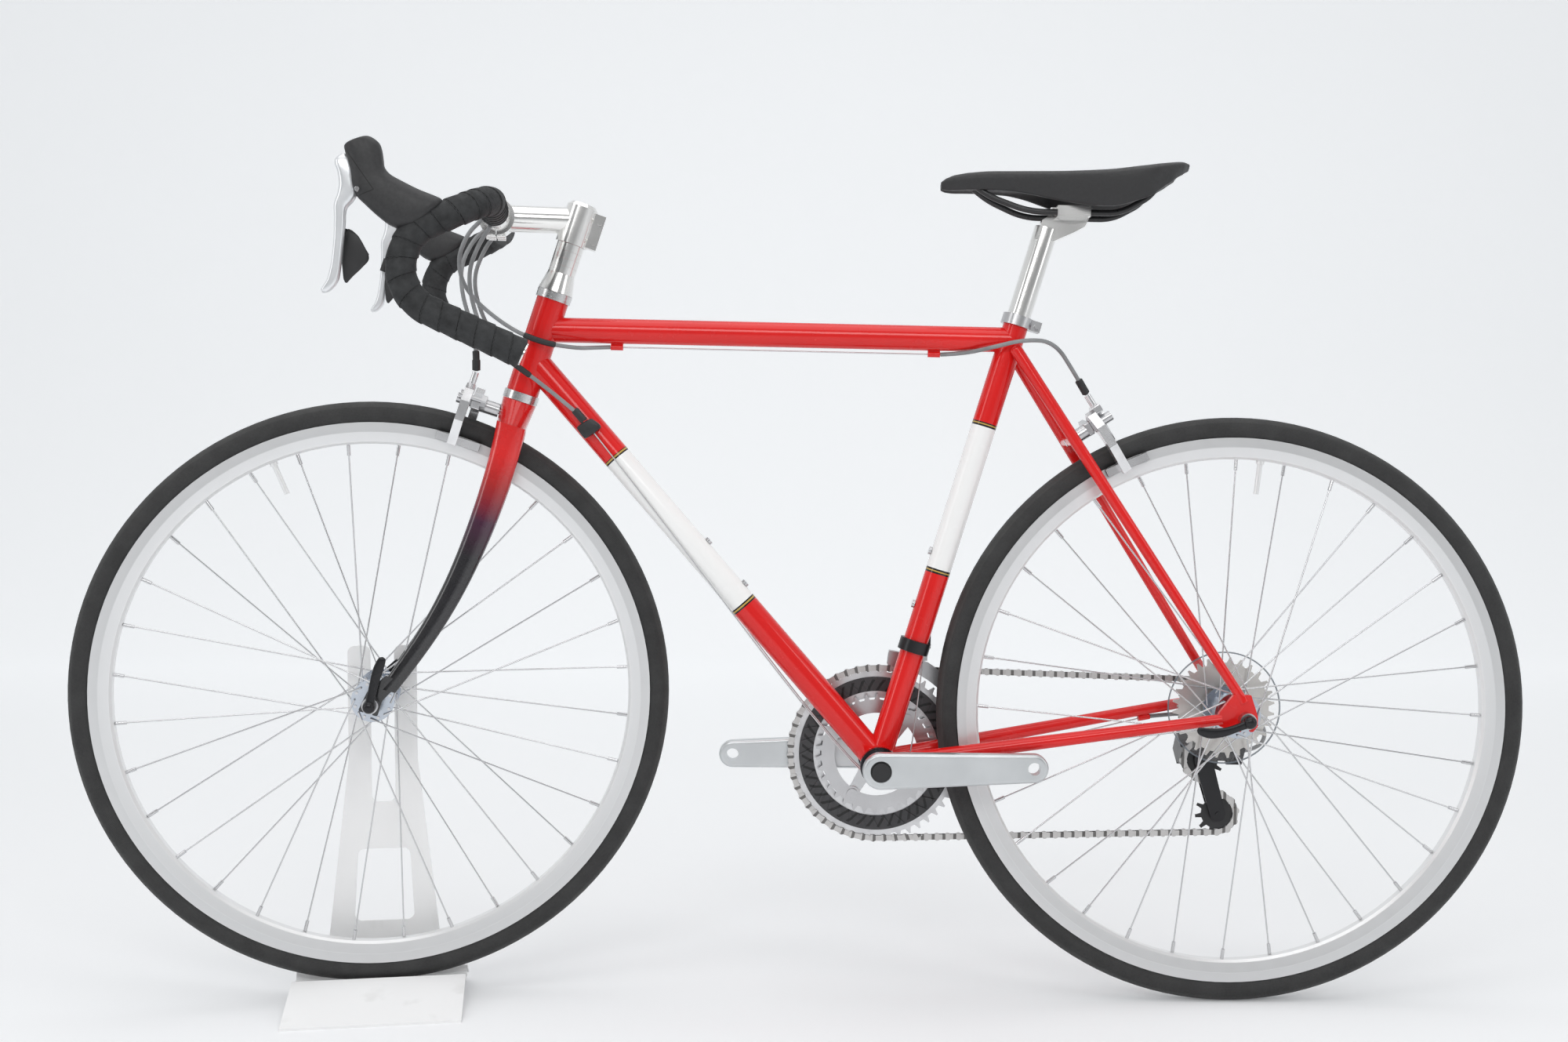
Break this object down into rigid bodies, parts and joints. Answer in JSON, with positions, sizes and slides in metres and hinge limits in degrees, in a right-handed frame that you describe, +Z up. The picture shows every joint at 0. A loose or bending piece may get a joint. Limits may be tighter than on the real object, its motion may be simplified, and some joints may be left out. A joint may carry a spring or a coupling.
{
  "type": "bicycle on stand",
  "caption": "Drop-bar road bicycle with its front wheel held in a slotted sheet stand: steel frame, carbon fork, rim brakes, geared chain drive and a slim saddle.",
  "frame": {"origin": "on the floor, below the middle of the whole object's box", "axes": "+X towards the rear of the bicycle, +Y towards its drive side, +Z up"},
  "size_m": [1.6476, 0.4694, 0.9627],
  "materials": {
    "black_resin": "satin",
    "carbon_red_fade": "gloss",
    "chain_steel": "nickelled",
    "clear_plastic": "clear",
    "dark_alloy": "anodised black",
    "grey_housing": "satin",
    "hood_rubber": "matt",
    "polished_alloy": "polished",
    "red_paint": "gloss",
    "saddle_black": "satin",
    "satin_alloy": "satin",
    "stand_white": "satin",
    "steel": "brushed",
    "tape_black": "wrapped, matt",
    "tyre_rubber": "matt"
  },
  "bodies": {
    "stand": {"stand": "stand_white"},
    "fork": {"fork": "carbon_red_fade", "headset_spacers": "polished_alloy", "stem": "polished_alloy", "stem_faceplate": "polished_alloy", "handlebar": "satin_alloy", "bar_tape": "tape_black", "lever_hoods": "hood_rubber", "fork_fittings": "steel", "front_brake_cable": "grey_housing"},
    "frame": {"head_tube": "red_paint", "top_tube": "red_paint", "down_tube": "red_paint", "seat_tube": "red_paint", "bottom_bracket_shell": "red_paint", "chainstays": "red_paint", "seatstays": "red_paint", "bearing_cups": "satin_alloy", "frame_bolts": "steel", "front_mech_clamp": "dark_alloy", "rear_mech_bracket": "dark_alloy", "rear_axle": "steel", "rear_brake_cable": "grey_housing", "shift_cables": "grey_housing", "chain": "chain_steel"},
    "front_wheel": {"front_tyre": "tyre_rubber", "front_rim": "satin_alloy", "front_spokes": "steel", "front_hub": "satin_alloy"},
    "rear_wheel": {"rear_tyre": "tyre_rubber", "rear_rim": "satin_alloy", "rear_spokes": "steel", "rear_hub": "satin_alloy", "spoke_disc": "clear_plastic"},
    "crankset": {"cranks": "satin_alloy", "big_chainring": "satin_alloy", "small_chainring": "satin_alloy"},
    "saddle": {"saddle_rails": "dark_alloy", "saddle_cover": "saddle_black"},
    "cassette": {"cassette": "chain_steel"},
    "right_brake_lever": {"right_brake_lever": "satin_alloy"},
    "left_brake_lever": {"left_brake_lever": "satin_alloy"},
    "right_shift_paddle": {"right_shift_paddle": "black_resin"},
    "left_shift_paddle": {"left_shift_paddle": "black_resin"},
    "front_brake_right_arm": {"front_brake_right_arm": "polished_alloy"},
    "front_brake_left_arm": {"front_brake_left_arm": "polished_alloy"},
    "rear_brake_left_arm": {"rear_brake_left_arm": "polished_alloy"},
    "rear_brake_right_arm": {"rear_brake_right_arm": "polished_alloy"},
    "front_quick_release_lever": {"front_quick_release_lever": "dark_alloy"},
    "rear_quick_release_lever": {"rear_quick_release_lever": "dark_alloy"},
    "rear_mech_outer_link": {"rear_mech_outer_link": "dark_alloy"},
    "rear_mech_inner_link": {"rear_mech_inner_link": "dark_alloy"},
    "rear_mech_knuckle": {"rear_mech_knuckle": "dark_alloy"},
    "rear_mech_cage": {"rear_mech_cage": "dark_alloy"},
    "guide_pulley": {"guide_pulley": "black_resin"},
    "tension_pulley": {"tension_pulley": "black_resin"},
    "front_mech_link": {"front_mech_link": "dark_alloy"},
    "front_mech_cage": {"front_mech_cage": "dark_alloy"},
    "seatpost": {"seatpost": "polished_alloy"},
    "saddle_clamp": {"saddle_clamp": "polished_alloy"}
  },
  "joints": [
    {"name": "lift_off", "type": "slide", "parent": "stand", "child": "fork", "axis": [0, 0, 1], "range_m": [0, 0.25]},
    {"name": "steering", "type": "hinge", "parent": "fork", "child": "frame", "pos_m": [-0.3224, 0.01764, 0.70162], "axis": [0.3198, 0, 0.9475], "range_deg": [-41, 59], "deforming": ["rear_brake_cable", "shift_cables"]},
    {"name": "front_wheel_spin", "type": "hinge", "parent": "fork", "child": "front_wheel", "pos_m": [-0.49136, 0.00991, 0.35548], "axis": [-0.1466, 0.988, 0.0495], "continuous": true},
    {"name": "rear_wheel_spin", "type": "hinge", "parent": "frame", "child": "rear_wheel", "pos_m": [0.48787, 0.01764, 0.336], "axis": [0, 1, 0], "continuous": true},
    {"name": "crank_spin", "type": "hinge", "parent": "frame", "child": "crankset", "pos_m": [0.08501, 0.01764, 0.27807], "axis": [0, 1, 0], "continuous": true, "deforming": ["chain"]},
    {"name": "cassette_spin", "type": "hinge", "parent": "frame", "child": "cassette", "pos_m": [0.48787, 0.01764, 0.336], "axis": [0, 1, 0], "continuous": true},
    {"name": "rear_mech_swing", "type": "hinge", "parent": "frame", "child": "rear_mech_outer_link", "pos_m": [0.51279, 0.10622, 0.28204], "axis": [0.0165, -0.5693, 0.822], "range_deg": [-15, 32]},
    {"name": "rear_mech_inner_swing", "type": "hinge", "parent": "frame", "child": "rear_mech_inner_link", "pos_m": [0.51261, 0.09306, 0.27294], "axis": [0.0165, -0.5693, 0.822], "range_deg": [-15, 32]},
    {"name": "rear_mech_knuckle_turn", "type": "hinge", "parent": "rear_mech_outer_link", "child": "rear_mech_knuckle", "pos_m": [0.4628, 0.10622, 0.28305], "axis": [0.0165, -0.5693, 0.822], "range_deg": [-32, 15]},
    {"name": "rear_mech_cage_turn", "type": "hinge", "parent": "rear_mech_knuckle", "child": "rear_mech_cage", "pos_m": [0.47055, 0.06464, 0.27033], "axis": [0, 1, 0], "range_deg": [-12, 20], "stiffness_Nm_per_rad": 1},
    {"name": "guide_pulley_spin", "type": "hinge", "parent": "rear_mech_cage", "child": "guide_pulley", "pos_m": [0.47055, 0.06464, 0.27033], "axis": [0, 1, 0], "continuous": true},
    {"name": "tension_pulley_spin", "type": "hinge", "parent": "rear_mech_cage", "child": "tension_pulley", "pos_m": [0.48776, 0.06464, 0.20662], "axis": [0, 1, 0], "continuous": true},
    {"name": "front_mech_swing", "type": "hinge", "parent": "frame", "child": "front_mech_link", "pos_m": [0.13598, 0.06164, 0.42449], "axis": [-0.9998, 0, 0.0201], "range_deg": [0, 25]},
    {"name": "front_mech_cage_turn", "type": "hinge", "parent": "front_mech_link", "child": "front_mech_cage", "pos_m": [0.13558, 0.06164, 0.4045], "axis": [-0.9998, 0, 0.0201], "range_deg": [-25, 0]},
    {"name": "seatpost_height", "type": "slide", "parent": "frame", "child": "seatpost", "axis": [0.2999, 0, 0.954], "range_m": [-0.06, 0.06]},
    {"name": "saddle_tilt", "type": "hinge", "parent": "seatpost", "child": "saddle_clamp", "pos_m": [0.30345, 0.01764, 0.91481], "axis": [0, 1, 0], "range_deg": [-10, 10]},
    {"name": "saddle_slide", "type": "slide", "parent": "saddle_clamp", "child": "saddle", "axis": [0.9998, 0, -0.0201], "range_m": [-0.012, 0.012]},
    {"name": "right_brake_lever_pull", "type": "hinge", "parent": "fork", "child": "right_brake_lever", "pos_m": [-0.50362, 0.18768, 0.91265], "axis": [0.1466, -0.988, -0.0495], "range_deg": [0, 20], "stiffness_Nm_per_rad": 1.5, "springref_deg": -11.46},
    {"name": "right_shift_paddle_swing", "type": "hinge", "parent": "right_brake_lever", "child": "right_shift_paddle", "pos_m": [-0.51993, 0.17477, 0.8675], "axis": [-0.3198, 0, -0.9475], "range_deg": [0, 18], "stiffness_Nm_per_rad": 0.3, "springref_deg": -11.46},
    {"name": "left_brake_lever_pull", "type": "hinge", "parent": "fork", "child": "left_brake_lever", "pos_m": [-0.44352, -0.21738, 0.89237], "axis": [0.1466, -0.988, -0.0495], "range_deg": [0, 20], "stiffness_Nm_per_rad": 1.5, "springref_deg": -11.46},
    {"name": "left_shift_paddle_swing", "type": "hinge", "parent": "left_brake_lever", "child": "left_shift_paddle", "pos_m": [-0.46352, -0.20539, 0.84846], "axis": [0.3198, 0, 0.9475], "range_deg": [0, 18], "stiffness_Nm_per_rad": 0.3, "springref_deg": -11.46},
    {"name": "front_brake_right_arm_close", "type": "hinge", "parent": "fork", "child": "front_brake_right_arm", "pos_m": [-0.34876, 0.01476, 0.68097], "axis": [-0.9361, -0.1547, 0.3159], "range_deg": [0, 1.76]},
    {"name": "front_brake_left_arm_close", "type": "hinge", "parent": "fork", "child": "front_brake_left_arm", "pos_m": [-0.34467, -0.00203, 0.68486], "axis": [0.9361, 0.1547, -0.3159], "range_deg": [0, 1.59]},
    {"name": "rear_brake_left_arm_close", "type": "hinge", "parent": "frame", "child": "rear_brake_left_arm", "pos_m": [0.30938, 0.01764, 0.64894], "axis": [0.8473, 0, 0.5311], "range_deg": [0, 1.46]},
    {"name": "rear_brake_right_arm_close", "type": "hinge", "parent": "frame", "child": "rear_brake_right_arm", "pos_m": [0.30672, 0.03464, 0.65318], "axis": [-0.8473, 0, -0.5311], "range_deg": [0, 1.34]},
    {"name": "front_quick_release_flip", "type": "hinge", "parent": "fork", "child": "front_quick_release_lever", "pos_m": [-0.48091, -0.06053, 0.35195], "axis": [0.9361, 0.1547, -0.3159], "range_deg": [0, 170]},
    {"name": "rear_quick_release_flip", "type": "hinge", "parent": "frame", "child": "rear_quick_release_lever", "pos_m": [0.48787, -0.06866, 0.336], "axis": [0.0201, 0, 0.9998], "range_deg": [0, 170]}
  ],
  "couplings": [
    {"joint": "cassette_spin", "follows": "crank_spin", "ratio": 3.5714},
    {"joint": "guide_pulley_spin", "follows": "crank_spin", "ratio": -4.5455},
    {"joint": "tension_pulley_spin", "follows": "crank_spin", "ratio": 4.5455},
    {"joint": "rear_mech_inner_swing", "follows": "rear_mech_swing", "ratio": 1},
    {"joint": "rear_mech_knuckle_turn", "follows": "rear_mech_swing", "ratio": -1},
    {"joint": "front_mech_cage_turn", "follows": "front_mech_swing", "ratio": -1},
    {"joint": "front_brake_right_arm_close", "follows": "right_brake_lever_pull", "ratio": 0.086261},
    {"joint": "front_brake_left_arm_close", "follows": "right_brake_lever_pull", "ratio": 0.077884},
    {"joint": "rear_brake_left_arm_close", "follows": "left_brake_lever_pull", "ratio": 0.071449},
    {"joint": "rear_brake_right_arm_close", "follows": "left_brake_lever_pull", "ratio": 0.065605}
  ]
}
